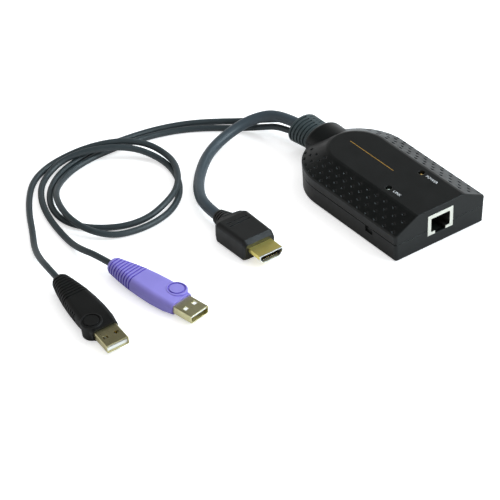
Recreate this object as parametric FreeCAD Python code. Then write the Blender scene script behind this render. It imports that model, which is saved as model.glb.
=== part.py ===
import FreeCAD, Part
import math
import os

# A KVM adapter dongle: a two-piece moulded housing with a network socket in its front
# face and three cords that leave the back through one ribbed boot. One cord ends in an
# HDMI plug and two end in USB type A plugs.
# Millimetres. +X points out of the socket, +Z is up, and the housing stands on z = 0
# with the origin under the middle of its length and width.

V = FreeCAD.Vector

# ---- housing ----
HALF_LENGTH = 47.25          # origin to the socket face, and to the end of the neck
NECK_LENGTH = 1.8            # how far the neck stands out of the half-round back
WIDTH = 58.2                 # across the side ridges
BACK_CENTRE_X = -HALF_LENGTH + NECK_LENGTH + WIDTH / 2    # where the half-round back starts
WALL = 1.8
FLOOR = 1.9
BOARD_Z = 5.1                # underside of the circuit board
BOARD_THICKNESS = 1.6
BOARD_TOP = BOARD_Z + BOARD_THICKNESS
JACK_HEIGHT = 11.6           # of the network socket, which stands on the board
ROOF_GAP = 2.0               # from the socket to the inside of the roof
HEIGHT = BOARD_TOP + JACK_HEIGHT + ROOF_GAP + WALL
SLOPE_RISE = 6.9             # from the side ridges to the top plate
RIDGE_Z = HEIGHT - SLOPE_RISE
PARTING_Z = 9.8              # where the two covers meet
SIDE_DRAFT = 0.3             # how far the sides lean in from ridge to parting line
BASE_DRAFT = 0.7             # the same from ridge to base
BASE_EDGE = 0.7              # bevel round the bottom edge
PLATE_WIDTH = 30.6           # the flat plate on top
PLATE_BACK = 17.0            # how far the plate's oval end reaches past BACK_CENTRE_X
CORNER = 1.6                 # plan radius of the two front corners
PLATE_CORNER = 0.5           # the same at the plate
RIDGE_BEVEL = 0.6            # width of the ridge's bevel, down the side and up the slope
SEAM = 0.15                  # clearance between the lower cover's lip and the upper cover
SEAM_GROOVE = 0.35           # width and depth of the shadow line at the parting
LIP_HEIGHT = 1.4
LIP_THICKNESS = 0.8
RIM_BEVEL = 0.7              # width of the plate's bevelled rim, on the plate and down the slope

# ---- dimples on the slopes ----
DIMPLE_PITCH = 7.1           # along a row, at the front
DIMPLE_CLOSING = 0.97        # each step back is this much of the one before
DIMPLE_SHARES = (0.12, 0.35, 0.58, 0.8)     # the rows' places from ridge to plate
DIMPLE_LENGTH = 3.2
DIMPLE_WIDTH = 2.3
DIMPLE_DEPTH = 0.75
DIMPLE_END = 3.6             # from the front face to the first dimple

# ---- neck and ribbed boot ----
NECK_Z = 13.2                # centre line of the cable neck
NECK_HALF_WIDTH = 11.7
NECK_DROP = 0.25             # top of the neck below the plate
NECK_HALF_HEIGHT = HEIGHT - NECK_DROP - NECK_Z
NECK_INNER_X = -HALF_LENGTH + 17.25      # where the neck has run into the housing
NECK_ROUND = 2.4             # rounding of the neck's free end
BORE_HALF_WIDTH = 7.6
BORE_HALF_HEIGHT = 5.6
BORE_FIT = 0.1               # clearance of the boot in the neck
FLANGE_RISE = 1.3            # how far the boot's flange stands into the neck
FLANGE_THICKNESS = 1.4
FLANGE_X = -HALF_LENGTH + 2.6            # outer face of the flange
BOOT_LENGTH = 14.4
BOOT_ROOT = (8.9, 7.0)       # half width and half height against the neck
BOOT_ROOT_OFFSET = (-0.3, -0.8)  # how far its centre is from the neck's in Y and Z
BOOT_TIP = (9.8, 7.7)        # the same at the free end
BOOT_TIP_OFFSET = (-0.8, -1.5)
BOOT_CORE_X = -HALF_LENGTH + 5.75        # inner end of the boot's core
BOOT_GROOVES = 5
BOOT_GROOVE_WIDTH = 1.0
BOOT_GROOVE_PITCH = 2.3
BOOT_GROOVE_DEPTH = 0.8
BOOT_GROOVE_START = 1.7      # first groove behind the free end
BOOT_SPINE_DROP = 3.8        # the grooves stop this far below the neck's centre
BOOT_SPINE = 1.6             # plain band between one set of grooves and the next
BOOT_TIP_ROUND = 0.9

# ---- network socket ----
JACK_WIDTH = 16.2
JACK_DEPTH = 15.6
JACK_FIT = 0.15              # clearance of the covers round the socket
SHIELD_SHEET = 0.3
SOCKET_WIDTH = 12.1
SOCKET_HEIGHT = 8.0
SOCKET_BOTTOM = 1.5          # above the bottom of the shield
SOCKET_DEPTH = 12.6
LATCH_WIDTH = 6.8
LATCH_DEPTH = 9.0
PIN_COUNT = 8
PIN_PITCH = 1.02
PIN_THICKNESS = 0.4

# ---- circuit board and what stands on it ----
BOARD_GAP = 0.5              # from the board's edge to the covers
BOARD_BACK_X = -HALF_LENGTH + 14.25
TRANSFORMER_SIZE = (12.6, 12.0, 5.6)     # along, across, height
TRANSFORMER_GAP = 3.35       # behind the network socket
MAIN_CHIP_SIZE = (16.0, 16.0, 1.6)
MAIN_CHIP_PLACE = (-4.0, 0.0)
VIDEO_CHIP_SIZE = (9.0, 9.0, 1.2)
VIDEO_CHIP_PLACE = (BOARD_BACK_X + 15.5, WIDTH / 2 - 16.1)
CRYSTAL_SIZE = (6.4, 4.4, 3.4)           # between the round ends' centres, across, height
CRYSTAL_PLACE = (6.0, 16.0)
CAPACITOR_SIZE = (5.0, 5.4)              # diameter, height
CAPACITOR_PLACES = ((-8.0, -17.0), (0.0, -17.0), (8.0, -17.0))
HEADER_X = (BOARD_BACK_X + 2.0, BOARD_BACK_X + 8.0)
HEADER_WIDTH = 7.5
HEADER_HEIGHT = 5.6
HEADER_WALL = 0.8
HEADER_PITCH = 8.6
LEAD_DIAMETER = 2.6
LEAD_PITCH = 4.4             # side by side in the boot's core
LEAD_STRAIGHT = 3.5          # straight at both ends of a lead
LED_X = HALF_LENGTH - 27.45
LED_Y = 10.6
LED_DIAMETER = 3.0
LED_RECESS = 1.0             # top of the LED below the plate
LED_HOLE = 3.5
LED_STEM = 1.8

# ---- screws ----
SCREW_Y = WIDTH / 2 - 7.5
SCREW_PLACES = [(x, side * SCREW_Y) for x in (HALF_LENGTH - 15.25, BACK_CENTRE_X - 3.75)
                for side in (1, -1)]
SCREW_DIAMETER = 2.6
SCREW_HEAD = 4.8
SCREW_HEAD_HEIGHT = 1.7
SCREW_LENGTH = 9.5
SCREW_SEAT = SCREW_HEAD_HEIGHT + 0.4     # the heads sit this far above the base
SCREW_TIP = SCREW_SEAT + SCREW_LENGTH
BOSS_DIAMETER = 6.4
PRY_SLOT_X = (HALF_LENGTH - 23.35, HALF_LENGTH - 17.85)
PRY_SLOT_Z = (PARTING_Z - 3.3, PARTING_Z)
PRY_SLOT_DEPTH = 1.0

# ---- USB plugs ----
USB_WIDTH = 12.0
USB_HEIGHT = 4.5
USB_SHEET = 0.35
USB_REACH = 12.0             # shell past its grip
USB_BURIED = 6.0             # shell inside its grip
USB_HOLE = (2.0, 2.5)        # along and across
USB_HOLE_X = 5.9
USB_HOLE_Y = 3.0
USB_TONGUE = 1.9
USB_TONGUE_REACH = 11.0
USB_CORNER = 0.7
USB_GRIP = 46.0              # length of the moulded grip
USB_RIBS = 9
USB_RIB_START = 1.9
USB_RIB_PITCH = 1.95
USB_RIB_WIDTH = 0.75
USB_RIB_DEPTH = 0.55
USB_SIDE_RIBS = 6            # short grooves that carry on along the boss's side
USB_SIDE_DEPTH = 0.9
USB_BOSS = (-6.4, -3.6)      # x and y of the round thumb boss
USB_BOSS_RADIUS = 5.4
USB_BOSS_HALF = 4.3
USB_RING_OUTER = 4.5
USB_RING_INNER = 3.6
USB_RING_DEPTH = 0.5
# x, half width, half height, corner radius
USB_GRIP_SECTIONS = (
    (-USB_GRIP, 3.6, 3.4, 3.2),
    (-44.5, 4.5, 3.9, 3.6),
    (-40.0, 5.5, 4.0, 3.7),
    (-36.0, 6.2, 4.1, 3.6),
    (-30.0, 7.1, 4.2, 3.4),
    (-22.0, 7.8, 4.2, 3.2),
    (-14.0, 8.1, 4.2, 3.0),
    (-6.0, 7.8, 4.0, 2.7),
    (0.0, 6.9, 3.3, 2.2),
)

# ---- HDMI plug ----
HDMI_WIDTH = 13.9
HDMI_HEIGHT = 4.45
HDMI_BEVEL = 2.0
HDMI_SHEET = 0.35
HDMI_REACH = 9.3
HDMI_BURIED = 5.0
HDMI_SLOT = 1.9              # slot in the insulator
HDMI_SLOT_HALF = 5.5
HDMI_GRIP = 33.5
HDMI_GROOVES = (-19.2, -16.6)
HDMI_GROOVE_HALF = 6.2
HDMI_GROOVE_WIDTH = 0.9
HDMI_GROOVE_DEPTH = 0.5
# x, half width, half height, corner radius
HDMI_GRIP_SECTIONS = (
    (-26.5, 6.6, 4.6, 3.0),
    (-25.0, 8.6, 5.5, 2.8),
    (-22.5, 9.9, 6.0, 2.4),
    (-2.4, 9.4, 6.0, 2.2),
    (0.0, 8.9, 4.2, 1.8),
)
# x, half width and height, corner radius
HDMI_NECK_SECTIONS = ((-HDMI_GRIP, 3.8, 3.7), (-31.0, 4.4, 4.1), (-26.0, 5.4, 4.4))
HDMI_RIBS = 3
HDMI_PINS = 10
HDMI_PIN_PITCH = 1.0

# ---- cords ----
USB_CORD = 3.3
HDMI_CORD = 5.8
BOOT_END_X = -HALF_LENGTH - BOOT_LENGTH

# Where each plug lies: place of its shell's root, then in degrees its turn about Z, how far
# its tail is lifted, and its roll about its own length.
BLACK_PLUG = (V(9.9, -175.75, 5.15), -6.0, 1.7, 7.0)
PURPLE_PLUG = (V(14.1, -134.35, USB_BOSS_HALF), 10.5, 1.7, 180.0)
HDMI_PLUG = (V(2.25, -77.75, 6.0), 0.0, 0.0, 0.0)
TAIL_LEAD = 12.0             # straight length of cord behind each plug
CORD_START_X = BOOT_END_X + 2.0     # the routes start inside the boot's end face

# Points of the cords' routes from the boot, up to the straight lead behind the plug.
FLAT = USB_CORD / 2          # height of a USB cord's centre where it lies flat
HDMI_ROUTE = (
    (CORD_START_X, -2.4, 14.2), (-76, -4.6, 14.3), (-85.8, -14.6, 10.6), (-87.6, -30, 6.2),
    (-82.4, -46.6, 3.6), (-70.2, -61, 3), (-56.6, -71.8, 4.6),
)
PURPLE_ROUTE = (
    (CORD_START_X, -3.9, 9.3), (-73, -6.3, 8.9), (-84, -10.75, 4.4), (-94, -18.25, FLAT),
    (-104, -30.25, FLAT), (-111.5, -42.75, FLAT), (-116, -56.25, FLAT), (-118.3, -69.75, FLAT),
    (-119, -83.25, FLAT), (-118.5, -96.75, FLAT), (-115.5, -109.75, FLAT), (-109.5, -120.75, 2.2),
    (-100.5, -129.25, 4.6), (-89, -134.75, 5.9), (-76.5, -137.25, 5.9), (-64, -135.25, 4.8),
    (-55.5, -126.75, 2.2), (-52, -115.75, FLAT), (-51.5, -103.25, FLAT), (-54.5, -90.75, FLAT),
    (-62, -79.75, FLAT), (-72.5, -71.75, FLAT), (-85, -67.25, FLAT), (-96.5, -67.75, 2.6),
    (-105.5, -73.75, 5.6), (-111.5, -82.75, 7.6), (-116.8, -92.25, 7.6), (-121, -101.75, 6.2),
    (-123, -111.25, 3.8), (-120, -121.25, FLAT), (-113, -129.75, FLAT), (-102.5, -136.55, FLAT),
    (-90, -141.25, FLAT), (-76.5, -144.05, FLAT), (-63, -145.45, FLAT), (-52.5, -146.25, 4.2),
)
BLACK_ROUTE = (
    (CORD_START_X, 4.4, 9.8), (-74, 0.4, 10), (-86, -5.45, 6), (-96.5, -12.75, 2.6),
    (-105.5, -22.25, FLAT), (-112.5, -33.05, FLAT), (-117.5, -44.45, FLAT), (-120.8, -56.75, FLAT),
    (-122.6, -69.75, FLAT), (-123.2, -82.75, FLAT), (-122.8, -95.75, FLAT), (-120, -108.75, FLAT),
    (-114, -120.75, FLAT), (-105.3, -129.95, FLAT), (-94, -136.25, FLAT), (-82, -137.75, FLAT),
    (-71.5, -133.45, FLAT), (-63.5, -125.25, FLAT), (-58, -114.75, FLAT), (-56, -102.75, 2.6),
    (-57.8, -91.25, 5.2), (-63.5, -80.45, 5.6), (-72.5, -72.45, 5.6), (-84, -66.25, 5.2),
    (-96, -64.05, 4.2), (-106, -67.55, 6.2), (-113, -76.25, 8), (-118, -85.75, 8),
    (-122.5, -95.75, 6.4), (-126.3, -106.25, 3.3), (-125.8, -118.25, FLAT),
    (-119.6, -130.25, FLAT), (-109, -139.75, FLAT), (-96.3, -148.05, FLAT), (-83.3, -154.85, FLAT),
    (-71.5, -161.75, FLAT), (-60, -166.45, 4),
)


# ---------------------------------------------------------------- helpers

def box(x0, x1, y0, y1, z0, z1):
    return Part.makeBox(x1 - x0, y1 - y0, z1 - z0, V(x0, y0, z0))


def cylinder(x, y, z0, z1, diameter):
    return Part.makeCylinder(diameter / 2, z1 - z0, V(x, y, z0))


def oval(x, half_width, half_height, y=0.0, z=0.0):
    """An upright ellipse across X."""
    big, small = max(half_width, half_height), min(half_width, half_height)
    long_way = V(0, 1, 0) if half_width >= half_height else V(0, 0, 1)
    short_way = V(1, 0, 0).cross(long_way)
    centre = V(x, y, z)
    ellipse = Part.Ellipse(centre + long_way * big, centre + short_way * small, centre)
    return Part.Wire([ellipse.toShape()])


def rounded(x, half_width, half_height, radius, y=0.0, z=0.0):
    """An upright rectangle with round corners, across X."""
    radius = min(radius, 0.98 * half_width, 0.98 * half_height)
    corners = [(1, 1), (-1, 1), (-1, -1), (1, -1)]
    edges = []
    for index, (side, level) in enumerate(corners):
        centre = V(x, y + side * (half_width - radius), z + level * (half_height - radius))
        start = math.radians(90 * index)
        arc = [centre + V(0, radius * math.cos(start + math.radians(step)),
                          radius * math.sin(start + math.radians(step))) for step in (0, 45, 90)]
        edges.append(Part.Arc(*arc).toShape())
    joined = []
    for index, edge in enumerate(edges):
        joined.append(edge)
        after = edges[(index + 1) % len(edges)]
        joined.append(Part.LineSegment(edge.Vertexes[-1].Point, after.Vertexes[0].Point).toShape())
    return Part.Wire(joined)


def loft(wires, ruled=False):
    return Part.makeLoft(wires, True, ruled)


def one(shape):
    """The single solid of a boolean's result, with split faces merged."""
    return shape.removeSplitter().Solids[0]


def save(shape, name):
    shape.exportStep(os.path.join("parts", name + ".step"))


# ---------------------------------------------------------------- housing

SLOPE = math.atan2(SLOPE_RISE, (WIDTH - PLATE_WIDTH) / 2)


def blend(ridge, plate, share):
    """A size on the slopes, from the ridge (share 0) to the plate (share 1)."""
    return ridge + (plate - ridge) * share


def level(z, lean=0.0, inset=0.0, share=0.0):
    """The housing's outline in plan at a height: front edge, two sides, half-oval back."""
    half = blend(WIDTH, PLATE_WIDTH, share) / 2 - lean - inset
    reach = blend(WIDTH / 2, PLATE_BACK, share) - lean - inset
    corner = max(blend(CORNER, PLATE_CORNER, share) - inset, 0.2)
    front_x = HALF_LENGTH - inset
    back = Part.Arc(V(0, half, 0), V(-half, 0, 0), V(0, -half, 0)).toShape()
    stretch = FreeCAD.Matrix()
    stretch.scale(reach / half, 1, 1)
    back = back.transformGeometry(stretch)
    back.translate(V(BACK_CENTRE_X, 0, z))

    def front_corner(side):
        centre = V(front_x - corner, side * (half - corner), z)
        points = [centre + V(corner * math.cos(turn), side * corner * math.sin(turn), 0)
                  for turn in (0, math.pi / 4, math.pi / 2)]
        return Part.Arc(*points).toShape()

    def line(x0, y0, x1, y1):
        return Part.LineSegment(V(x0, y0, z), V(x1, y1, z)).toShape()

    return Part.Wire([
        line(front_x, corner - half, front_x, half - corner),
        front_corner(1),
        line(front_x - corner, half, BACK_CENTRE_X, half),
        back,
        line(BACK_CENTRE_X, -half, front_x - corner, -half),
        front_corner(-1),
    ])


def slab(z0, z1, lean, inset):
    """A flat slice of the housing's outline, with upright sides."""
    return loft([level(z0, lean, inset), level(z1, lean, inset)], True)


def upper_block():
    """The upper cover's outer form, closed: sides, bevelled ridge, slopes, bevelled rim, plate."""
    slope_length = SLOPE_RISE / math.sin(SLOPE)
    low, high = RIDGE_BEVEL / slope_length, 1 - RIM_BEVEL / slope_length
    return loft([level(PARTING_Z, SIDE_DRAFT), level(RIDGE_Z - RIDGE_BEVEL),
                 level(RIDGE_Z + SLOPE_RISE * low, share=low),
                 level(RIDGE_Z + SLOPE_RISE * high, share=high),
                 level(HEIGHT, RIM_BEVEL, share=1)], True)


def lower_block():
    return loft([level(0, BASE_DRAFT, BASE_EDGE), level(BASE_EDGE, BASE_DRAFT),
                 level(PARTING_Z, SIDE_DRAFT)], True)


def cavity():
    """The room inside both covers, WALL inside their outer faces."""
    rise = WALL / math.cos(SLOPE)
    inner_ridge = RIDGE_Z + WALL * math.tan(SLOPE) - rise
    plate_lean = (rise - WALL) / math.tan(SLOPE) - WALL
    return loft([level(FLOOR, BASE_DRAFT, WALL), level(PARTING_Z, SIDE_DRAFT, WALL),
                 level(inner_ridge, 0, WALL), level(HEIGHT - WALL, plate_lean, WALL, 1)], True)


def neck_block():
    """The oval neck, rounded at its free end and running forward into the housing."""
    ring = oval(-HALF_LENGTH, NECK_HALF_WIDTH, NECK_HALF_HEIGHT, z=NECK_Z)
    neck = Part.Face(ring).extrude(V(NECK_INNER_X + HALF_LENGTH, 0, 0))
    end = [edge for edge in neck.Edges if edge.BoundBox.XMax < -HALF_LENGTH + 0.01]
    return neck.makeFillet(NECK_ROUND, end)


def bore_block(clearance=0.0):
    """What fills the neck's bore: the boot's core and its flange."""
    core = Part.Face(oval(-HALF_LENGTH, BORE_HALF_WIDTH - clearance, BORE_HALF_HEIGHT - clearance,
                          z=NECK_Z)).extrude(V(BOOT_CORE_X + HALF_LENGTH, 0, 0))
    flange = Part.Face(oval(FLANGE_X + clearance, BORE_HALF_WIDTH + FLANGE_RISE - clearance,
                            BORE_HALF_HEIGHT + FLANGE_RISE - clearance, z=NECK_Z))
    return one(core.fuse(flange.extrude(V(FLANGE_THICKNESS - 2 * clearance, 0, 0))))


def pit(centre, along, across, normal):
    """A lozenge-shaped pit: a pyramid with its point in the wall and its base outside."""
    lift = 0.4
    widen = (DIMPLE_DEPTH + lift) / DIMPLE_DEPTH
    base = [centre + normal * lift + along * (DIMPLE_LENGTH / 2 * widen * way) for way in (1, -1)]
    sides = [centre + normal * lift + across * (DIMPLE_WIDTH / 2 * widen * way) for way in (1, -1)]
    ring = [base[0], sides[0], base[1], sides[1]]
    point = centre - normal * DIMPLE_DEPTH
    faces = [Part.Face(Part.makePolygon(ring + [ring[0]]))]
    for here, after in zip(ring, ring[1:] + ring[:1]):
        faces.append(Part.Face(Part.makePolygon([here, after, point, here])))
    return Part.Solid(Part.Shell(faces))


def slope_pit(ridge, plate, along, share):
    """A pit on the line from a ridge point to the plate point above it."""
    up = (plate - ridge).normalize()
    normal = along.cross(up).normalize()
    if normal.z < 0:
        normal = normal * -1
    return pit(ridge + (plate - ridge) * share, along, up, normal)


def dimples():
    """Staggered rows of pits on both long slopes and round the back, beside the neck."""
    pits = []
    for row, share in enumerate(DIMPLE_SHARES):
        pitch = DIMPLE_PITCH
        x = HALF_LENGTH - DIMPLE_END
        if row % 2:
            x -= pitch / 2
        while x > BACK_CENTRE_X:
            for side in (1, -1):
                ridge, plate = V(x, side * WIDTH / 2, RIDGE_Z), V(x, side * PLATE_WIDTH / 2, HEIGHT)
                pits.append(slope_pit(ridge, plate, V(1, 0, 0), share))
            x -= pitch
            pitch *= DIMPLE_CLOSING
        half = blend(WIDTH, PLATE_WIDTH, share) / 2
        reach = blend(WIDTH / 2, PLATE_BACK, share)
        angle = (BACK_CENTRE_X - x) / half
        while half * math.cos(angle) > NECK_HALF_WIDTH + DIMPLE_LENGTH:
            out, back = math.cos(angle), math.sin(angle)
            for side in (1, -1):
                ridge = V(BACK_CENTRE_X - WIDTH / 2 * back, side * WIDTH / 2 * out, RIDGE_Z)
                plate = V(BACK_CENTRE_X - PLATE_BACK * back, side * PLATE_WIDTH / 2 * out, HEIGHT)
                along = V(-reach * out, -side * half * back, 0).normalize()
                pits.append(slope_pit(ridge, plate, along, share))
            angle += pitch / half
    return pits


def jack_hole():
    half = JACK_WIDTH / 2 + JACK_FIT
    return box(HALF_LENGTH - 2 * WALL, HALF_LENGTH + 1, -half, half,
               BOARD_TOP - JACK_FIT, BOARD_TOP + JACK_HEIGHT + JACK_FIT)


def pry_slot():
    """The small pocket over the parting line in the -Y side."""
    side = WIDTH / 2 - SIDE_DRAFT
    return box(*PRY_SLOT_X, -side - 2, -side + PRY_SLOT_DEPTH, *PRY_SLOT_Z)


def upper_cover():
    outer = upper_block()
    seam = slab(PARTING_Z - 1, PARTING_Z + SEAM_GROOVE, SIDE_DRAFT, -1)
    outer = outer.cut(seam.cut(slab(PARTING_Z - 1, PARTING_Z + SEAM_GROOVE, SIDE_DRAFT, SEAM_GROOVE)))
    upper_half = box(-100, 100, -60, 60, PARTING_Z, HEIGHT + 10)
    outer = outer.fuse(neck_block().common(upper_half))
    bosses = [cylinder(x, y, BOARD_TOP, HEIGHT, BOSS_DIAMETER) for x, y in SCREW_PLACES]
    posts = Part.Compound(bosses).common(upper_block().fuse(lower_block()))
    cover = outer.cut(cavity()).fuse(posts)
    rebate = slab(PARTING_Z - 1, PARTING_Z + LIP_HEIGHT + SEAM, SIDE_DRAFT,
                  WALL - LIP_THICKNESS - SEAM)
    cover = cover.cut(rebate.cut(Part.Compound(bosses)))
    cuts = [bore_block(), jack_hole(), pry_slot()]
    cuts += [cylinder(LED_X, side * LED_Y, HEIGHT - 2 * WALL, HEIGHT + 1, LED_HOLE)
             for side in (1, -1)]
    cuts += [cylinder(x, y, 0, SCREW_TIP + 0.5, SCREW_DIAMETER) for x, y in SCREW_PLACES]
    cover = cover.cut(Part.Compound(cuts))
    return cover.cut(Part.Compound(dimples())).Solids[0]


def lower_cover():
    lower_half = box(-100, 100, -60, 60, -10, PARTING_Z)
    outer = lower_block().fuse(neck_block().common(lower_half))
    cover = outer.cut(cavity())
    lip = slab(PARTING_Z - 1, PARTING_Z + LIP_HEIGHT, SIDE_DRAFT, WALL - LIP_THICKNESS)
    lip = lip.cut(slab(PARTING_Z - 2, PARTING_Z + 5, SIDE_DRAFT, WALL))
    cover = cover.fuse(lip)
    cover = cover.fuse(Part.Compound([cylinder(x, y, BASE_EDGE, BOARD_Z, BOSS_DIAMETER)
                                      for x, y in SCREW_PLACES]))
    cuts = [bore_block(), jack_hole(), pry_slot()]
    for x, y in SCREW_PLACES:
        cuts.append(cylinder(x, y, -1, SCREW_SEAT, SCREW_HEAD + 0.4))
        cuts.append(cylinder(x, y, 0, BOARD_Z + 1, SCREW_DIAMETER + 0.3))
    return cover.cut(Part.Compound(cuts)).Solids[0]


def cover_screws():
    """Four self-tapping screws with cross recesses, driven from below."""
    screws = []
    for x, y in SCREW_PLACES:
        bottom = SCREW_SEAT - SCREW_HEAD_HEIGHT
        shank = cylinder(x, y, SCREW_SEAT, SCREW_TIP, SCREW_DIAMETER)
        head = cylinder(x, y, bottom, SCREW_SEAT, SCREW_HEAD)
        rim = [edge for edge in head.Edges if edge.BoundBox.ZMax < bottom + 0.01]
        head = head.makeChamfer(0.4, rim)
        cross = box(x - 1.4, x + 1.4, y - 0.3, y + 0.3, bottom - 1, bottom + 1)
        cross = cross.fuse(box(x - 0.3, x + 0.3, y - 1.4, y + 1.4, bottom - 1, bottom + 1))
        screws.append(shank.fuse(head).cut(cross))
    return Part.Compound(screws)


# ---------------------------------------------------------------- inside the housing

def circuit_board():
    board = slab(BOARD_Z, BOARD_TOP, BASE_DRAFT, WALL + BOARD_GAP)
    board = board.common(box(BOARD_BACK_X, HALF_LENGTH, -60, 60, BOARD_Z, BOARD_TOP))
    holes = [cylinder(x, y, 0, HEIGHT, SCREW_DIAMETER + 0.6) for x, y in SCREW_PLACES]
    return board.cut(Part.Compound(holes)).Solids[0]


def chip(place_on_board, size, bevel=0.3):
    """A moulded package with its top edges bevelled."""
    x, y = place_on_board
    length, width, height = size
    block = box(x - length / 2, x + length / 2, y - width / 2, y + width / 2,
                BOARD_TOP, BOARD_TOP + height)
    top = [edge for edge in block.Edges if edge.BoundBox.ZMin > BOARD_TOP + 0.01]
    return block.makeChamfer(bevel, top)


def crystal():
    """A low metal can with round ends."""
    x, y = CRYSTAL_PLACE
    length, width, height = CRYSTAL_SIZE
    can = box(x - length / 2, x + length / 2, y - width / 2, y + width / 2,
              BOARD_TOP, BOARD_TOP + height)
    for side in (1, -1):
        end = cylinder(x + side * length / 2, y, BOARD_TOP, BOARD_TOP + height, width)
        can = can.fuse(end)
    return one(can)


def capacitors():
    diameter, height = CAPACITOR_SIZE
    cans = []
    for x, y in CAPACITOR_PLACES:
        can = cylinder(x, y, BOARD_TOP, BOARD_TOP + height, diameter)
        top = [edge for edge in can.Edges if edge.BoundBox.ZMin > BOARD_TOP + 1]
        cans.append(can.makeChamfer(0.4, top))
    return Part.Compound(cans)


def cable_headers():
    """Board connectors for the three cords, each a shrouded block with a wall round it."""
    half, inner = HEADER_WIDTH / 2, HEADER_WIDTH / 2 - HEADER_WALL
    blocks = []
    for index in (-1, 0, 1):
        y = index * HEADER_PITCH
        block = box(*HEADER_X, y - half, y + half, BOARD_TOP, BOARD_TOP + HEADER_HEIGHT)
        room = box(HEADER_X[0] + 2, HEADER_X[1] - HEADER_WALL, y - inner, y + inner,
                   BOARD_TOP + 1.5, BOARD_TOP + HEADER_HEIGHT + 1)
        blocks.append(block.cut(room))
    return Part.Compound(blocks)


def inner_leads():
    """The cords' inner ends, from the boot's core to the board connectors."""
    lead_z = BOARD_TOP + HEADER_HEIGHT / 2
    leads = []
    for index in (-1, 0, 1):
        start_y, end_y = index * LEAD_PITCH, index * HEADER_PITCH
        points = [V(BOOT_CORE_X, start_y, NECK_Z), V(BOOT_CORE_X + LEAD_STRAIGHT, start_y, NECK_Z),
                  V(HEADER_X[0] - LEAD_STRAIGHT, end_y, lead_z), V(HEADER_X[0], end_y, lead_z)]
        leads.append(tube(points, LEAD_DIAMETER)[0])
    return Part.Compound(leads)


def led(side):
    """A round LED: flanged base on a stem, with a dome under the hole in the plate."""
    top = HEIGHT - LED_RECESS
    dome_base = top - LED_DIAMETER / 2
    body = cylinder(LED_X, side * LED_Y, dome_base - 2.5, dome_base, LED_DIAMETER)
    dome = Part.makeSphere(LED_DIAMETER / 2, V(LED_X, side * LED_Y, dome_base))
    flange = cylinder(LED_X, side * LED_Y, dome_base - 3.3, dome_base - 2.5, LED_DIAMETER + 0.6)
    stem = cylinder(LED_X, side * LED_Y, BOARD_TOP, dome_base - 3.3, LED_STEM)
    upper = box(LED_X - 5, LED_X + 5, side * LED_Y - 5, side * LED_Y + 5, dome_base, HEIGHT)
    return one(body.fuse([dome.common(upper), flange, stem]))


# ---------------------------------------------------------------- network socket

JACK_BACK_X = HALF_LENGTH - JACK_DEPTH
SOCKET_Z = BOARD_TOP + SOCKET_BOTTOM


def socket_room(depth, latch_depth):
    """The plug's way in: a rectangle, with the latch's slot open at the bottom."""
    half = SOCKET_WIDTH / 2
    room = box(HALF_LENGTH - depth, HALF_LENGTH + 1, -half, half, SOCKET_Z, SOCKET_Z + SOCKET_HEIGHT)
    latch = box(HALF_LENGTH - latch_depth, HALF_LENGTH + 1, -LATCH_WIDTH / 2, LATCH_WIDTH / 2,
                BOARD_TOP - 1, SOCKET_Z + 1)
    return room.fuse(latch)


def rj45_shield():
    half, top = JACK_WIDTH / 2, BOARD_TOP + JACK_HEIGHT
    outer = box(JACK_BACK_X, HALF_LENGTH, -half, half, BOARD_TOP, top)
    inner = box(JACK_BACK_X - 1, HALF_LENGTH - SHIELD_SHEET, -half + SHIELD_SHEET, half - SHIELD_SHEET,
                BOARD_TOP - 1, top - SHIELD_SHEET)
    return one(outer.cut(inner).cut(socket_room(2, 2)))


def rj45_insulator():
    half, top = JACK_WIDTH / 2 - SHIELD_SHEET, BOARD_TOP + JACK_HEIGHT - SHIELD_SHEET
    block = box(JACK_BACK_X, HALF_LENGTH - SHIELD_SHEET, -half, half, BOARD_TOP, top)
    return one(block.cut(socket_room(SOCKET_DEPTH, LATCH_DEPTH)))


def rj45_contacts():
    """Eight spring wires that slope back and down from the socket's roof."""
    roof = SOCKET_Z + SOCKET_HEIGHT
    back_x = HALF_LENGTH - SOCKET_DEPTH + 1.2
    bend_x, front_x = HALF_LENGTH - 3.0, HALF_LENGTH - 1.6
    drop = 2.6
    profile = [(front_x, roof), (bend_x, roof), (back_x, roof - drop),
               (back_x, roof - drop - PIN_THICKNESS), (bend_x, roof - PIN_THICKNESS),
               (front_x, roof - PIN_THICKNESS)]
    pins = []
    for index in range(PIN_COUNT):
        y = (index - (PIN_COUNT - 1) / 2) * PIN_PITCH - PIN_THICKNESS / 2
        face = Part.Face(Part.makePolygon([V(x, y, z) for x, z in profile + profile[:1]]))
        pins.append(face.extrude(V(0, PIN_THICKNESS, 0)))
    return Part.Compound(pins)


# ---------------------------------------------------------------- boot

def ribbed(outer, core, grooves):
    """A moulding with grooves down to a smaller core."""
    return one(outer.cut(Part.Compound(grooves)).fuse(core))


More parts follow.
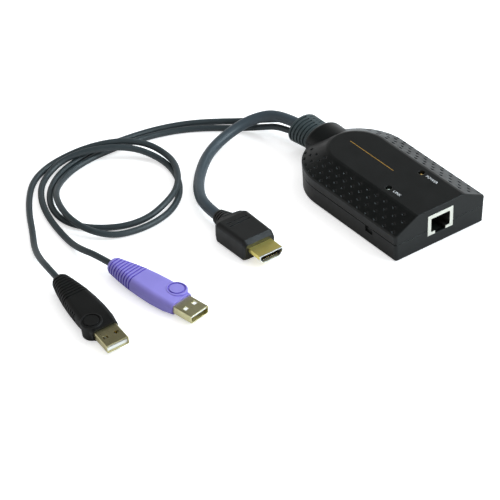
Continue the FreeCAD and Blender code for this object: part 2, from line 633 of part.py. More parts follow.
def cable_boot():
    """The oval boot: three staggered sets of grooves, and a flange held in the neck."""
    root, tip = -HALF_LENGTH, BOOT_END_X

    def skin(smaller):
        ends = []
        for x, (half_width, half_height), (dy, dz) in ((root, BOOT_ROOT, BOOT_ROOT_OFFSET),
                                                       (tip, BOOT_TIP, BOOT_TIP_OFFSET)):
            ends.append(oval(x, half_width - smaller, half_height - smaller, dy, NECK_Z + dz))
        return loft(ends, True)

    outer = skin(0)
    rim = [edge for edge in outer.Edges if edge.BoundBox.XMax < tip + 0.01]
    outer = outer.makeFillet(BOOT_TIP_ROUND, rim)
    spine = NECK_Z - BOOT_SPINE_DROP
    grooves = []
    for index in range(BOOT_GROOVES):
        x = tip + BOOT_GROOVE_START + index * BOOT_GROOVE_PITCH
        between = x + BOOT_GROOVE_PITCH / 2
        grooves.append(box(x, x + BOOT_GROOVE_WIDTH, -30, 0, spine, 40))
        grooves.append(box(between, between + BOOT_GROOVE_WIDTH, BOOT_SPINE, 30, spine, 40))
        grooves.append(box(between, between + BOOT_GROOVE_WIDTH, -30, 30, -5, spine - BOOT_SPINE))
    return one(ribbed(outer, skin(BOOT_GROOVE_DEPTH), grooves).fuse(bore_block(BORE_FIT)))


# ---------------------------------------------------------------- plugs, each along its own +X

def place(shape, plug):
    """Lays a plug where it rests: rolled, tail lifted, turned about Z, then moved."""
    position, turn, lift, roll = plug
    shape = shape.copy()
    shape.rotate(V(0, 0, 0), V(1, 0, 0), roll)
    shape.rotate(V(0, 0, 0), V(0, 1, 0), lift)
    shape.rotate(V(0, 0, 0), V(0, 0, 1), turn)
    shape.translate(position)
    return shape


def tail_points(plug, grip_length, lead):
    """The two last points of a cord's route: in line with the grip, and on its tail."""
    position, turn, lift, _ = plug
    turn, lift = math.radians(turn), math.radians(lift)
    back = V(-math.cos(turn) * math.cos(lift), -math.sin(turn) * math.cos(lift), math.sin(lift))
    return [position + back * (grip_length + lead), position + back * grip_length]


def usb_skin(smaller=0.0):
    """The grip's form, from its round tail to its flat front."""
    wires = [rounded(x, half_width - smaller, half_height - smaller, corner)
             for x, half_width, half_height, corner in USB_GRIP_SECTIONS]
    return loft(wires, True)


def side_half(x):
    """The grip's half width between two of its sections."""
    for (x0, half0, _, _), (x1, half1, _, _) in zip(USB_GRIP_SECTIONS, USB_GRIP_SECTIONS[1:]):
        if x0 <= x <= x1:
            return blend(half0, half1, (x - x0) / (x1 - x0))


def usb_overmold():
    """The grip: ribbed tail, flat body and a round thumb boss with a ring on one side."""
    grip = usb_skin()
    core = usb_skin(USB_RIB_DEPTH)
    slots = []
    for index in range(USB_RIBS):
        x = -USB_GRIP + USB_RIB_START + index * USB_RIB_PITCH
        slots.append(box(x, x + USB_RIB_WIDTH, -20, 20, -20, 20))
    grip = ribbed(grip, core, slots)
    notches = []
    for index in range(USB_RIBS, USB_RIBS + USB_SIDE_RIBS):
        x = -USB_GRIP + USB_RIB_START + index * USB_RIB_PITCH
        notches.append(box(x, x + USB_RIB_WIDTH, -20, USB_SIDE_DEPTH - side_half(x), -20, 20))
    grip = grip.cut(Part.Compound(notches))
    x, y = USB_BOSS
    boss = cylinder(x, y, -USB_BOSS_HALF, USB_BOSS_HALF, 2 * USB_BOSS_RADIUS)
    rims = [edge for edge in boss.Edges if edge.BoundBox.ZMax - edge.BoundBox.ZMin < 0.01]
    boss = boss.makeFillet(0.6, rims)
    grip = grip.fuse(boss)
    rings = []
    for side in (1, -1):
        middle = side * USB_BOSS_HALF
        low, high = middle - USB_RING_DEPTH, middle + USB_RING_DEPTH
        ring = cylinder(x, y, low, high, 2 * USB_RING_OUTER)
        rings.append(ring.cut(cylinder(x, y, low, high, 2 * USB_RING_INNER)))
    grip = grip.cut(Part.Compound(rings))
    pocket = box(-USB_BURIED, 5, -USB_WIDTH / 2, USB_WIDTH / 2, -USB_HEIGHT / 2, USB_HEIGHT / 2)
    return one(grip.cut(pocket))


def usb_shell():
    """The folded metal tube with two square windows above and two below."""
    outer = box(-USB_BURIED, USB_REACH, -USB_WIDTH / 2, USB_WIDTH / 2, -USB_HEIGHT / 2, USB_HEIGHT / 2)
    corners = [edge for edge in outer.Edges if edge.BoundBox.XMax - edge.BoundBox.XMin > 1]
    outer = outer.makeFillet(USB_CORNER, corners)
    inner = box(-USB_BURIED - 1, USB_REACH + 1, -USB_WIDTH / 2 + USB_SHEET, USB_WIDTH / 2 - USB_SHEET,
                -USB_HEIGHT / 2 + USB_SHEET, USB_HEIGHT / 2 - USB_SHEET)
    along, across = USB_HOLE
    windows = [box(USB_HOLE_X - along / 2, USB_HOLE_X + along / 2, side * USB_HOLE_Y - across / 2,
                   side * USB_HOLE_Y + across / 2, -5, 5) for side in (1, -1)]
    return one(outer.cut(inner).cut(Part.Compound(windows)))


def usb_tongue():
    """The insulator: a block at the back of the shell and a tongue on the shell's floor."""
    half, roof = USB_WIDTH / 2 - USB_SHEET, USB_HEIGHT / 2 - USB_SHEET
    floor = -roof
    tongue = box(-USB_BURIED, USB_TONGUE_REACH, -half, half, floor, floor + USB_TONGUE)
    return one(tongue.fuse(box(-USB_BURIED, -0.5, -half, half, floor, roof)))


def usb_contacts():
    """Four gold strips on the tongue: the outer two reach further forward."""
    level_z = -USB_HEIGHT / 2 + USB_SHEET + USB_TONGUE
    strips = []
    for y, reach in ((-3.5, 9.9), (-1.0, 8.9), (1.0, 8.9), (3.5, 9.9)):
        strips.append(box(0.5, reach, y - 0.5, y + 0.5, level_z, level_z + 0.15))
    return Part.Compound(strips)


def hdmi_profile(x, smaller=0.0):
    """The shell's section: a rectangle whose two lower corners are cut in."""
    half_width, half_height = HDMI_WIDTH / 2 - smaller, HDMI_HEIGHT / 2 - smaller
    cut = HDMI_BEVEL - 0.6 * smaller
    points = [(half_width, half_height), (-half_width, half_height),
              (-half_width, -half_height + cut + 0.3), (-half_width + cut, -half_height),
              (half_width - cut, -half_height), (half_width, -half_height + cut + 0.3)]
    return Part.Face(Part.makePolygon([V(x, y, z) for y, z in points + points[:1]]))


def hdmi_overmold():
    """The grip: a block with a bevelled front, finger grooves above and below, a ribbed neck."""
    body = loft([rounded(x, half_width, half_height, corner)
                 for x, half_width, half_height, corner in HDMI_GRIP_SECTIONS], True)
    neck = loft([rounded(x, half, half, corner) for x, half, corner in HDMI_NECK_SECTIONS], True)
    tail_half = HDMI_NECK_SECTIONS[0][1]
    ribs = [box(x, x + 0.8, -20, 20, -20, 20)
            for x in (-HDMI_GRIP + 1.2 + 1.9 * index for index in range(HDMI_RIBS))]
    core = Part.makeCylinder(tail_half - 0.6, 8, V(-HDMI_GRIP, 0, 0), V(1, 0, 0))
    grip = body.fuse(ribbed(neck, core, ribs))
    grooves = []
    for x in HDMI_GROOVES:
        for side in (1, -1):
            middle = side * HDMI_GRIP_SECTIONS[2][2]
            grooves.append(box(x, x + HDMI_GROOVE_WIDTH, -HDMI_GROOVE_HALF, HDMI_GROOVE_HALF,
                               middle - HDMI_GROOVE_DEPTH, middle + HDMI_GROOVE_DEPTH))
    grip = grip.cut(Part.Compound(grooves))
    return one(grip.cut(hdmi_profile(-HDMI_BURIED).extrude(V(HDMI_BURIED + 5, 0, 0))))


def hdmi_shell():
    outer = hdmi_profile(-HDMI_BURIED).extrude(V(HDMI_BURIED + HDMI_REACH, 0, 0))
    inner = hdmi_profile(-HDMI_BURIED - 1, HDMI_SHEET).extrude(V(HDMI_BURIED + HDMI_REACH + 2, 0, 0))
    return one(outer.cut(inner))


def hdmi_insulator():
    """The black core: set back a little from the shell's mouth, with a wide slot in it."""
    length = HDMI_BURIED + HDMI_REACH - 0.8
    block = hdmi_profile(-HDMI_BURIED, HDMI_SHEET).extrude(V(length, 0, 0))
    slot = box(1.0, HDMI_REACH, -HDMI_SLOT_HALF, HDMI_SLOT_HALF, -HDMI_SLOT / 2, HDMI_SLOT / 2)
    return one(block.cut(slot))


def hdmi_contacts():
    """Nineteen gold strips in the slot: ten in its roof and nine in its floor."""
    strips = []
    for count, low in ((HDMI_PINS, HDMI_SLOT / 2 - 0.2), (HDMI_PINS - 1, -HDMI_SLOT / 2)):
        for index in range(count):
            y = (index - (count - 1) / 2) * HDMI_PIN_PITCH
            strips.append(box(1.0, HDMI_REACH - 1.0, y - 0.2, y + 0.2, low, low + 0.2))
    return Part.Compound(strips)


# ---------------------------------------------------------------- cords

def tube(points, diameter):
    """A round tube of straight runs joined by tangent arcs. Also gives length and radii."""
    edges, radii, here = [], [], points[0]
    for before, corner, after in zip(points, points[1:], points[2:]):
        back, ahead = before - corner, after - corner
        cut = 0.45 * min(back.Length, ahead.Length)
        back.normalize()
        ahead.normalize()
        half_turn = (math.pi - back.getAngle(ahead)) / 2
        radius = cut / math.tan(half_turn)
        start, end = corner + back * cut, corner + ahead * cut
        inward = (back + ahead).normalize()
        middle = corner + inward * (radius / math.cos(half_turn) - radius)
        edges.append(Part.LineSegment(here, start).toShape())
        edges.append(Part.Arc(start, middle, end).toShape())
        radii.append(radius)
        here = end
    edges.append(Part.LineSegment(here, points[-1]).toShape())
    path = Part.Wire(edges)
    ring = Part.Wire([Part.Circle(points[0], points[1] - points[0], diameter / 2).toShape()])
    solid = path.makePipeShell([ring], True, False)
    return solid, path.Length, radii


def cord(name, route, diameter, end):
    points = [V(*point) for point in route] + end
    solid, length, radii = tube(points, diameter)
    solid = solid.cut(box(BOOT_END_X, 0, -20, 20, 0, HEIGHT))
    section = math.pi * (diameter / 2) ** 2
    print("%s: %.0f mm, tightest radius %.1f mm, volume %.4f of section by length"
          % (name, length, min(radii), solid.Volume / (section * length)))
    return solid


# ---------------------------------------------------------------- all of it

def main():
    os.makedirs("parts", exist_ok=True)
    save(upper_cover(), "upper_cover")
    save(lower_cover(), "lower_cover")
    save(cover_screws(), "cover_screws")
    save(circuit_board(), "circuit_board")
    save(chip(MAIN_CHIP_PLACE, MAIN_CHIP_SIZE), "main_chip")
    save(chip(VIDEO_CHIP_PLACE, VIDEO_CHIP_SIZE), "video_chip")
    behind_socket = (JACK_BACK_X - TRANSFORMER_GAP - TRANSFORMER_SIZE[0] / 2, 0.0)
    save(chip(behind_socket, TRANSFORMER_SIZE, 0.5), "line_transformer")
    save(crystal(), "crystal")
    save(capacitors(), "capacitors")
    save(cable_headers(), "cable_headers")
    save(inner_leads(), "inner_leads")
    save(led(1), "led_power")
    save(led(-1), "led_link")
    save(rj45_shield(), "rj45_shield")
    save(rj45_insulator(), "rj45_insulator")
    save(rj45_contacts(), "rj45_contacts")
    save(cable_boot(), "cable_boot")
    for name, plug in (("black_usb", BLACK_PLUG), ("purple_usb", PURPLE_PLUG)):
        save(place(usb_overmold(), plug), name + "_overmold")
        save(place(usb_shell(), plug), name + "_shell")
        save(place(usb_tongue(), plug), name + "_tongue")
        save(place(usb_contacts(), plug), name + "_contacts")
    save(place(hdmi_overmold(), HDMI_PLUG), "hdmi_overmold")
    save(place(hdmi_shell(), HDMI_PLUG), "hdmi_shell")
    save(place(hdmi_insulator(), HDMI_PLUG), "hdmi_insulator")
    save(place(hdmi_contacts(), HDMI_PLUG), "hdmi_contacts")
    save(cord("black_usb_cord", BLACK_ROUTE, USB_CORD, tail_points(BLACK_PLUG, USB_GRIP, TAIL_LEAD)),
         "black_usb_cord")
    save(cord("purple_usb_cord", PURPLE_ROUTE, USB_CORD, tail_points(PURPLE_PLUG, USB_GRIP, TAIL_LEAD)),
         "purple_usb_cord")
    save(cord("hdmi_cord", HDMI_ROUTE, HDMI_CORD, tail_points(HDMI_PLUG, HDMI_GRIP, TAIL_LEAD)),
         "hdmi_cord")


main()
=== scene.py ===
import bpy
import math
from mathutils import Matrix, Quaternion, Vector

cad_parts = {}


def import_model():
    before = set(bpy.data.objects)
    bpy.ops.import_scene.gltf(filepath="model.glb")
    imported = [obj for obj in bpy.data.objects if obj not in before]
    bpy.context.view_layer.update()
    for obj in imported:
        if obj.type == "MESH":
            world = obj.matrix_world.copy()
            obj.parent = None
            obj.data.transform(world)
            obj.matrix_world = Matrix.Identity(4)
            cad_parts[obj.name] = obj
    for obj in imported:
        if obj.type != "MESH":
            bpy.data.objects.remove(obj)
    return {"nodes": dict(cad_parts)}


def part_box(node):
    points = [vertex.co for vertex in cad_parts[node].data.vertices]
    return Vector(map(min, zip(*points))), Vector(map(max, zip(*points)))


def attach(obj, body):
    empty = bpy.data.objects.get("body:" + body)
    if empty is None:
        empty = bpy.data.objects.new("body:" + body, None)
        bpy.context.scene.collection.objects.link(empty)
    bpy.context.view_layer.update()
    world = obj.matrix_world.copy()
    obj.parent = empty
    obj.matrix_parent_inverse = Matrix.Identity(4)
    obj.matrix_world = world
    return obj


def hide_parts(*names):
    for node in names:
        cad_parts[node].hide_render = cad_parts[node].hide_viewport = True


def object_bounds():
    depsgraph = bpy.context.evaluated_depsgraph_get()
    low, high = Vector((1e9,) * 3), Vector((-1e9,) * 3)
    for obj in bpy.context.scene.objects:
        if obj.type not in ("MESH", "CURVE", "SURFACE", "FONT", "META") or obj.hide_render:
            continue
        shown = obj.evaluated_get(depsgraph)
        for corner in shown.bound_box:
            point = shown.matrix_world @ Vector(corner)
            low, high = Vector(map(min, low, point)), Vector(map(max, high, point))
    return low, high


# A KVM adapter dongle on a white table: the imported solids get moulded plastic, PVC and
# plated metal, the cords become smooth curves, and the top plate gets its printed marks.
# Metres, in the part's own frame, except for the cords' routes, which are in mm.

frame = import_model()
cad_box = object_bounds()
nodes = frame["nodes"]
bpy.context.scene.view_settings.view_transform = "Standard"
MM = 0.001


def add(name, data):
    """A new object in the scene."""
    obj = bpy.data.objects.new(name, data)
    bpy.context.collection.objects.link(obj)
    return obj


# ---------------------------------------------------------------- camera

CAMERA_AZIMUTH = 53.03       # degrees round from -Y, towards +X
CAMERA_ELEVATION = 35.84
CAMERA_DISTANCE = 1.42227
CAMERA_TARGET = (-0.00497, -0.07747, 0.0)
CAMERA_ROLL = -0.81
CAMERA_LENS = 207.4          # mm, on Blender's 36 mm sensor
CAMERA_SHIFT_X = -0.0031


def camera():
    """A long lens, three quarters from the socket's end."""
    azimuth, elevation = math.radians(CAMERA_AZIMUTH), math.radians(CAMERA_ELEVATION)
    target = Vector(CAMERA_TARGET)
    level = math.cos(elevation)
    away = Vector((level * math.sin(azimuth), -level * math.cos(azimuth), math.sin(elevation)))
    data = bpy.data.cameras.new("camera")
    data.lens = CAMERA_LENS
    data.shift_x = CAMERA_SHIFT_X
    data.clip_end = 50
    obj = add("camera", data)
    obj.location = target + CAMERA_DISTANCE * away
    look = (-away).to_track_quat("-Z", "Y")
    obj.rotation_mode = "QUATERNION"
    obj.rotation_quaternion = look @ Quaternion((0, 0, 1), math.radians(CAMERA_ROLL))
    bpy.context.scene.camera = obj


# ---------------------------------------------------------------- materials

# Each material's darker and lighter colour, between which its noise wanders.
COLOURS = {
    "housing_plastic": ((0.0035, 0.0041, 0.0038), (0.0052, 0.0059, 0.0055)),
    "boot_pvc": ((0.038, 0.053, 0.056), (0.044, 0.061, 0.065)),
    "black_grip_pvc": ((0.0045, 0.0045, 0.0041), (0.0065, 0.0065, 0.0060)),
    "hdmi_grip_pvc": ((0.0085, 0.0087, 0.0083), (0.011, 0.0113, 0.0107)),
    "purple_grip_pvc": ((0.245, 0.21, 0.61), (0.275, 0.235, 0.66)),
    "hdmi_cord_pvc": ((0.035, 0.050, 0.061), (0.042, 0.058, 0.070)),
    "usb_cord_pvc": ((0.022, 0.031, 0.034), (0.028, 0.038, 0.042)),
    "lead_pvc": ((0.02, 0.024, 0.026), (0.026, 0.03, 0.032)),
    "white_nylon": ((0.88, 0.88, 0.86), (0.92, 0.92, 0.90)),
    "black_nylon": ((0.012, 0.012, 0.011), (0.018, 0.018, 0.017)),
    "nickel": ((0.74, 0.69, 0.39), (0.80, 0.75, 0.44)),
    # A darker copy of the nickel, with the same roughness, for the black plug's shell.
    "darker_nickel": ((0.63, 0.57, 0.31), (0.69, 0.63, 0.36)),
    "socket_tin": ((0.80, 0.79, 0.70), (0.86, 0.85, 0.77)),
    "gold": ((0.99, 0.82, 0.24), (1.0, 0.87, 0.29)),
    "contact_gold": ((0.85, 0.62, 0.24), (0.92, 0.70, 0.30)),
    "screw_zinc": ((0.42, 0.42, 0.43), (0.5, 0.5, 0.5)),
    "led_amber": ((0.75, 0.45, 0.12), (0.85, 0.55, 0.2)),
    "led_green": ((0.55, 0.66, 0.55), (0.65, 0.75, 0.65)),
    "solder_mask": ((0.005, 0.006, 0.005), (0.007, 0.008, 0.007)),
}
TRACK_GAP_COLOUR = (0.003, 0.004, 0.003)
CUT_STEEL = (0.92, 0.93, 0.90)       # a plated sheet's bare cut edge
GROOVE_SHADE_VIOLET = (0.15, 0.10, 0.57)     # painted shade in the purple grip's grooves
GROOVE_REACH = 0.0016                # how near the walls are that cast the painted groove shade
CUT_WIDTH = 0.0005                   # of the HDMI shell's bare rim


def shader(name, colour, roughness, metallic=0.0):
    """A new material with its node tree, Principled shader and object coordinates."""
    material = bpy.data.materials.new(name)
    material.use_nodes = True
    tree = material.node_tree
    principled = tree.nodes["Principled BSDF"]
    principled.inputs["Base Color"].default_value = (*colour, 1)
    principled.inputs["Roughness"].default_value = roughness
    principled.inputs["Metallic"].default_value = metallic
    coords = tree.nodes.new("ShaderNodeTexCoord").outputs["Object"]
    return material, tree, principled, coords


def noise(tree, coords, size, detail=3.0):
    """Noise whose features are about size metres across, from 0 to 1."""
    node = tree.nodes.new("ShaderNodeTexNoise")
    node.inputs["Scale"].default_value = 1 / size
    node.inputs["Detail"].default_value = detail
    tree.links.new(coords, node.inputs["Vector"])
    return node.outputs["Fac"]


def span(tree, value, low, high, start=0.3, end=0.7):
    """Maps a factor's start..end to low..high."""
    node = tree.nodes.new("ShaderNodeMapRange")
    node.inputs["From Min"].default_value = start
    node.inputs["From Max"].default_value = end
    node.inputs["To Min"].default_value = low
    node.inputs["To Max"].default_value = high
    tree.links.new(value, node.inputs["Value"])
    return node.outputs["Result"]


def ramp(tree, factor, start, end, first, last):
    """A colour that goes from first to last while a factor goes from start to end."""
    node = tree.nodes.new("ShaderNodeValToRGB")
    for stop, position, colour in zip(node.color_ramp.elements, (start, end), (first, last)):
        stop.position = position
        stop.color = (*colour, 1)
    tree.links.new(factor, node.inputs["Fac"])
    return node.outputs["Color"]


def tint(tree, factor, dark, light):
    """A colour that wanders from dark to light with a noise."""
    return ramp(tree, factor, 0.3, 0.7, dark, light)


def blend(tree, factor, colour, other):
    """A colour that goes over to another, constant one with a factor."""
    node = tree.nodes.new("ShaderNodeMixRGB")
    node.inputs["Color2"].default_value = (*other, 1)
    tree.links.new(factor, node.inputs["Fac"])
    tree.links.new(colour, node.inputs["Color1"])
    return node.outputs["Color"]


def bump(tree, principled, height, depth, edge=0.0):
    """Bump of a real depth in metres, over edges rounded by edge metres."""
    node = tree.nodes.new("ShaderNodeBump")
    node.inputs["Strength"].default_value = 1.0
    node.inputs["Distance"].default_value = depth
    tree.links.new(height, node.inputs["Height"])
    if edge:
        rounded = tree.nodes.new("ShaderNodeBevel")
        rounded.samples = 6
        rounded.inputs["Radius"].default_value = edge
        tree.links.new(rounded.outputs["Normal"], node.inputs["Normal"])
    tree.links.new(node.outputs["Normal"], principled.inputs["Normal"])


def groove_shade_mask(tree):
    """A factor for painted shade: 1 far down in narrow grooves and 0 on open faces."""
    shade = tree.nodes.new("ShaderNodeAmbientOcclusion")
    shade.samples = 8
    shade.inputs["Distance"].default_value = GROOVE_REACH
    return span(tree, shade.outputs["AO"], 1.0, 0.0, start=0.45, end=0.95)


def past(tree, coords, x):
    """A factor that is 0 behind x and 1 in front of it."""
    parts = tree.nodes.new("ShaderNodeSeparateXYZ")
    tree.links.new(coords, parts.inputs["Vector"])
    soft = 0.0001
    return span(tree, parts.outputs["X"], 0.0, 1.0, start=x - soft, end=x + soft)


def plastic(name, roughness, grain=0.00035, edge=0.00035, specular=0.4, groove_shade=None):
    """A moulded plastic: spark-eroded grain, faint clouding, handling polish, and painted shade in
    narrow grooves when a shade colour is given.
    """
    dark, light = COLOURS[name]
    material, tree, principled, coords = shader(name, dark, roughness)
    principled.inputs["Specular IOR Level"].default_value = specular
    base = tint(tree, noise(tree, coords, 0.012, detail=4.0), dark, light)
    # Painted shade: the colour goes over to the shade colour in narrow grooves, found by ambient
    # occlusion.
    if groove_shade:
        base = blend(tree, groove_shade_mask(tree), base, groove_shade)
    tree.links.new(base, principled.inputs["Base Color"])
    polish = noise(tree, coords, 0.004, detail=5.0)
    tree.links.new(span(tree, polish, roughness - 0.06, roughness + 0.06),
                   principled.inputs["Roughness"])
    bump(tree, principled, noise(tree, coords, grain, detail=2.0), depth=0.000012, edge=edge)
    return material


def metal(name, roughness, depth=0.000003, cut_x=None):
    """A plated sheet metal: faint rolling streaks, small stains, bright steel past cut_x."""
    dark, light = COLOURS[name]
    material, tree, principled, coords = shader(name, dark, roughness, metallic=1.0)
    stretch = tree.nodes.new("ShaderNodeMapping")
    stretch.inputs["Scale"].default_value = (0.12, 1.0, 1.0)
    tree.links.new(coords, stretch.inputs["Vector"])
    streaks = noise(tree, stretch.outputs["Vector"], 0.0003)
    base = tint(tree, noise(tree, coords, 0.0025, detail=4.0), dark, light)
    if cut_x is not None:
        base = blend(tree, past(tree, coords, cut_x), base, CUT_STEEL)
    tree.links.new(base, principled.inputs["Base Color"])
    tree.links.new(span(tree, streaks, roughness - 0.05, roughness + 0.08),
                   principled.inputs["Roughness"])
    bump(tree, principled, streaks, depth, edge=0.00015)
    return material


def solder_mask():
    """Black board with faint tracks under the mask."""
    dark, light = COLOURS["solder_mask"]
    material, tree, principled, coords = shader("solder_mask", dark, 0.4)
    tracks = tree.nodes.new("ShaderNodeTexBrick")
    tracks.inputs["Scale"].default_value = 180
    tracks.inputs["Color1"].default_value = (*dark, 1)
    tracks.inputs["Color2"].default_value = (*light, 1)
    tracks.inputs["Mortar"].default_value = (*TRACK_GAP_COLOUR, 1)
    tree.links.new(coords, tracks.inputs["Vector"])
    tree.links.new(tracks.outputs["Color"], principled.inputs["Base Color"])
    bump(tree, principled, noise(tree, coords, 0.0006), depth=0.00001)
    return material


def lens(name):
    """A diffused LED body: milky plastic with a little depth."""
    dark, light = COLOURS[name]
    material, tree, principled, coords = shader(name, dark, 0.15)
    principled.inputs["Transmission Weight"].default_value = 0.35
    principled.inputs["IOR"].default_value = 1.5
    tree.links.new(tint(tree, noise(tree, coords, 0.001), dark, light),
                   principled.inputs["Base Color"])
    bump(tree, principled, noise(tree, coords, 0.0008), depth=0.000005)
    return material


def jacket(name):
    """Extruded PVC: fine grain, a dull sheen, scuffs."""
    dark, light = COLOURS[name]
    material, tree, principled, coords = shader(name, dark, 0.42)
    principled.inputs["Specular IOR Level"].default_value = 0.5
    scuffs = noise(tree, coords, 0.006, detail=5.0)
    tree.links.new(tint(tree, scuffs, dark, light), principled.inputs["Base Color"])
    grain = noise(tree, coords, 0.0008)
    tree.links.new(span(tree, grain, 0.36, 0.50), principled.inputs["Roughness"])
    bump(tree, principled, grain, depth=0.00002)
    return material


def ink(name, colour):
    """Pad-printed ink: slightly uneven, satin."""
    material, tree, principled, coords = shader(name, colour, 0.5)
    worn = tuple(0.8 * value for value in colour)
    tree.links.new(tint(tree, noise(tree, coords, 0.0004), worn, colour),
                   principled.inputs["Base Color"])
    bump(tree, principled, noise(tree, coords, 0.0003), depth=0.000004)
    return material


def dress(material, *names):
    """Gives CAD nodes their material."""
    for name in names:
        data = nodes[name].data
        data.materials.clear()
        data.materials.append(material)


def dress_all():
    """Every CAD node's material."""
    dress(plastic("housing_plastic", 0.34, edge=0.0006, specular=0.27),
          "upper_cover", "lower_cover")
    pvc = {"grain": 0.0006, "edge": 0.0003}
    dress(plastic("boot_pvc", 0.5, grain=0.0006, edge=0.0002), "cable_boot")
    dress(plastic("black_grip_pvc", 0.5, specular=0.26, **pvc), "black_usb_overmold")
    dress(plastic("hdmi_grip_pvc", 0.42, specular=0.3, **pvc), "hdmi_overmold")
    # The purple grip gets painted shade in its grooves.
    dress(plastic("purple_grip_pvc", 0.5, groove_shade=GROOVE_SHADE_VIOLET, **pvc), "purple_usb_overmold")
    dress(metal("nickel", 0.32), "purple_usb_shell")
    dress(metal("darker_nickel", 0.32), "black_usb_shell")
    dress(metal("socket_tin", 0.45), "rj45_shield")
    mouth_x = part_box("hdmi_shell")[1].x
    dress(metal("gold", 0.40, depth=0.000001, cut_x=mouth_x - CUT_WIDTH), "hdmi_shell")
    dress(metal("contact_gold", 0.22),
          "rj45_contacts", "hdmi_contacts", "black_usb_contacts", "purple_usb_contacts")
    dress(plastic("white_nylon", 0.45), "black_usb_tongue", "purple_usb_tongue", "cable_headers")
    dress(plastic("black_nylon", 0.4, edge=0.0001),
          "rj45_insulator", "hdmi_insulator", "main_chip", "video_chip", "line_transformer")
    dress(metal("screw_zinc", 0.35), "cover_screws", "crystal", "capacitors")
    dress(plastic("lead_pvc", 0.5), "inner_leads")
    dress(lens("led_amber"), "led_power")
    dress(lens("led_green"), "led_link")
    dress(solder_mask(), "circuit_board")


# ---------------------------------------------------------------- cords

USB_CORD = 0.0033
HDMI_CORD = 0.0058
FLAT = USB_CORD / 2 / MM     # height in mm of a thin cord that lies on the table
CORD_START_X = -59.65
TAIL_LEAD = 12.0             # straight run behind a plug's tail, in mm
USB_GRIP = 46.0              # from a plug's root to its tail, in mm
HDMI_GRIP = 33.5
USB_LIFT = 1.7               # degrees by which a USB plug's tail is above its nose

# Points in mm, as in the part: from inside the boot, up to the straight lead at the plug.
HDMI_ROUTE = (
    (CORD_START_X, -2.4, 14.2), (-76, -4.6, 14.3), (-85.8, -14.6, 10.6), (-87.6, -30, 6.2),
    (-82.4, -46.6, 3.6), (-70.2, -61, 3), (-56.6, -71.8, 4.6),
)
PURPLE_ROUTE = (
    (CORD_START_X, -3.9, 9.3), (-73, -6.3, 8.9), (-84, -10.75, 4.4), (-94, -18.25, FLAT),
    (-104, -30.25, FLAT), (-111.5, -42.75, FLAT), (-116, -56.25, FLAT), (-118.3, -69.75, FLAT),
    (-119, -83.25, FLAT), (-118.5, -96.75, FLAT), (-115.5, -109.75, FLAT), (-109.5, -120.75, 2.2),
    (-100.5, -129.25, 4.6), (-89, -134.75, 5.9), (-76.5, -137.25, 5.9), (-64, -135.25, 4.8),
    (-55.5, -126.75, 2.2), (-52, -115.75, FLAT), (-51.5, -103.25, FLAT), (-54.5, -90.75, FLAT),
    (-62, -79.75, FLAT), (-72.5, -71.75, FLAT), (-85, -67.25, FLAT), (-96.5, -67.75, 2.6),
    (-105.5, -73.75, 5.6), (-111.5, -82.75, 7.6), (-116.8, -92.25, 7.6), (-121, -101.75, 6.2),
    (-123, -111.25, 3.8), (-120, -121.25, FLAT), (-113, -129.75, FLAT), (-102.5, -136.55, FLAT),
    (-90, -141.25, FLAT), (-76.5, -144.05, FLAT), (-63, -145.45, FLAT), (-52.5, -146.25, 4.2),
)
BLACK_ROUTE = (
    (CORD_START_X, 4.4, 9.8), (-74, 0.4, 10), (-86, -5.45, 6), (-96.5, -12.75, 2.6),
    (-105.5, -22.25, FLAT), (-112.5, -33.05, FLAT), (-117.5, -44.45, FLAT), (-120.8, -56.75, FLAT),
    (-122.6, -69.75, FLAT), (-123.2, -82.75, FLAT), (-122.8, -95.75, FLAT), (-120, -108.75, FLAT),
    (-114, -120.75, FLAT), (-105.3, -129.95, FLAT), (-94, -136.25, FLAT), (-82, -137.75, FLAT),
    (-71.5, -133.45, FLAT), (-63.5, -125.25, FLAT), (-58, -114.75, FLAT), (-56, -102.75, 2.6),
    (-57.8, -91.25, 5.2), (-63.5, -80.45, 5.6), (-72.5, -72.45, 5.6), (-84, -66.25, 5.2),
    (-96, -64.05, 4.2), (-106, -67.55, 6.2), (-113, -76.25, 8), (-118, -85.75, 8),
    (-122.5, -95.75, 6.4), (-126.3, -106.25, 3.3), (-125.8, -118.25, FLAT),
    (-119.6, -130.25, FLAT), (-109, -139.75, FLAT), (-96.3, -148.05, FLAT), (-83.3, -154.85, FLAT),
    (-71.5, -161.75, FLAT), (-60, -166.45, 4),
)
# Each plug's root in mm, where its grip meets its shell, and its turn in degrees.
HDMI_ROOT, HDMI_TURN = (2.25, -77.75, 6.0), 0.0
PURPLE_ROOT, PURPLE_TURN = (14.1, -134.35, 4.3), 10.5
BLACK_ROOT, BLACK_TURN = (9.9, -175.75, 5.15), -6.0


def tail(root, turn, lift, grip):
    """The last two points of a route: in line with the plug, and on its tail."""
    turn, lift = math.radians(turn), math.radians(lift)
    back = Vector((-math.cos(turn) * math.cos(lift), -math.sin(turn) * math.cos(lift),
                   math.sin(lift)))
    return [Vector(root) + back * (grip + TAIL_LEAD), Vector(root) + back * grip]


def cord(node, route, end, diameter, material):
    """One free cord as a smooth curve through its route."""
    points = [Vector(point) for point in route] + end
    curve = bpy.data.curves.new(node + "_curve", "CURVE")
    curve.dimensions = "3D"
    curve.bevel_depth = diameter / 2
    curve.bevel_resolution = 7
    curve.resolution_u = 14
    curve.use_fill_caps = True
    spline = curve.splines.new("NURBS")
    spline.points.add(len(points) - 1)
    for control, point in zip(spline.points, points):
        control.co = (*(point * MM), 1)
    spline.order_u = 3
    spline.use_endpoint_u = True
    curve.materials.append(material)
    obj = add(node + "_curve", curve)
    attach(obj, "root")
    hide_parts(node)


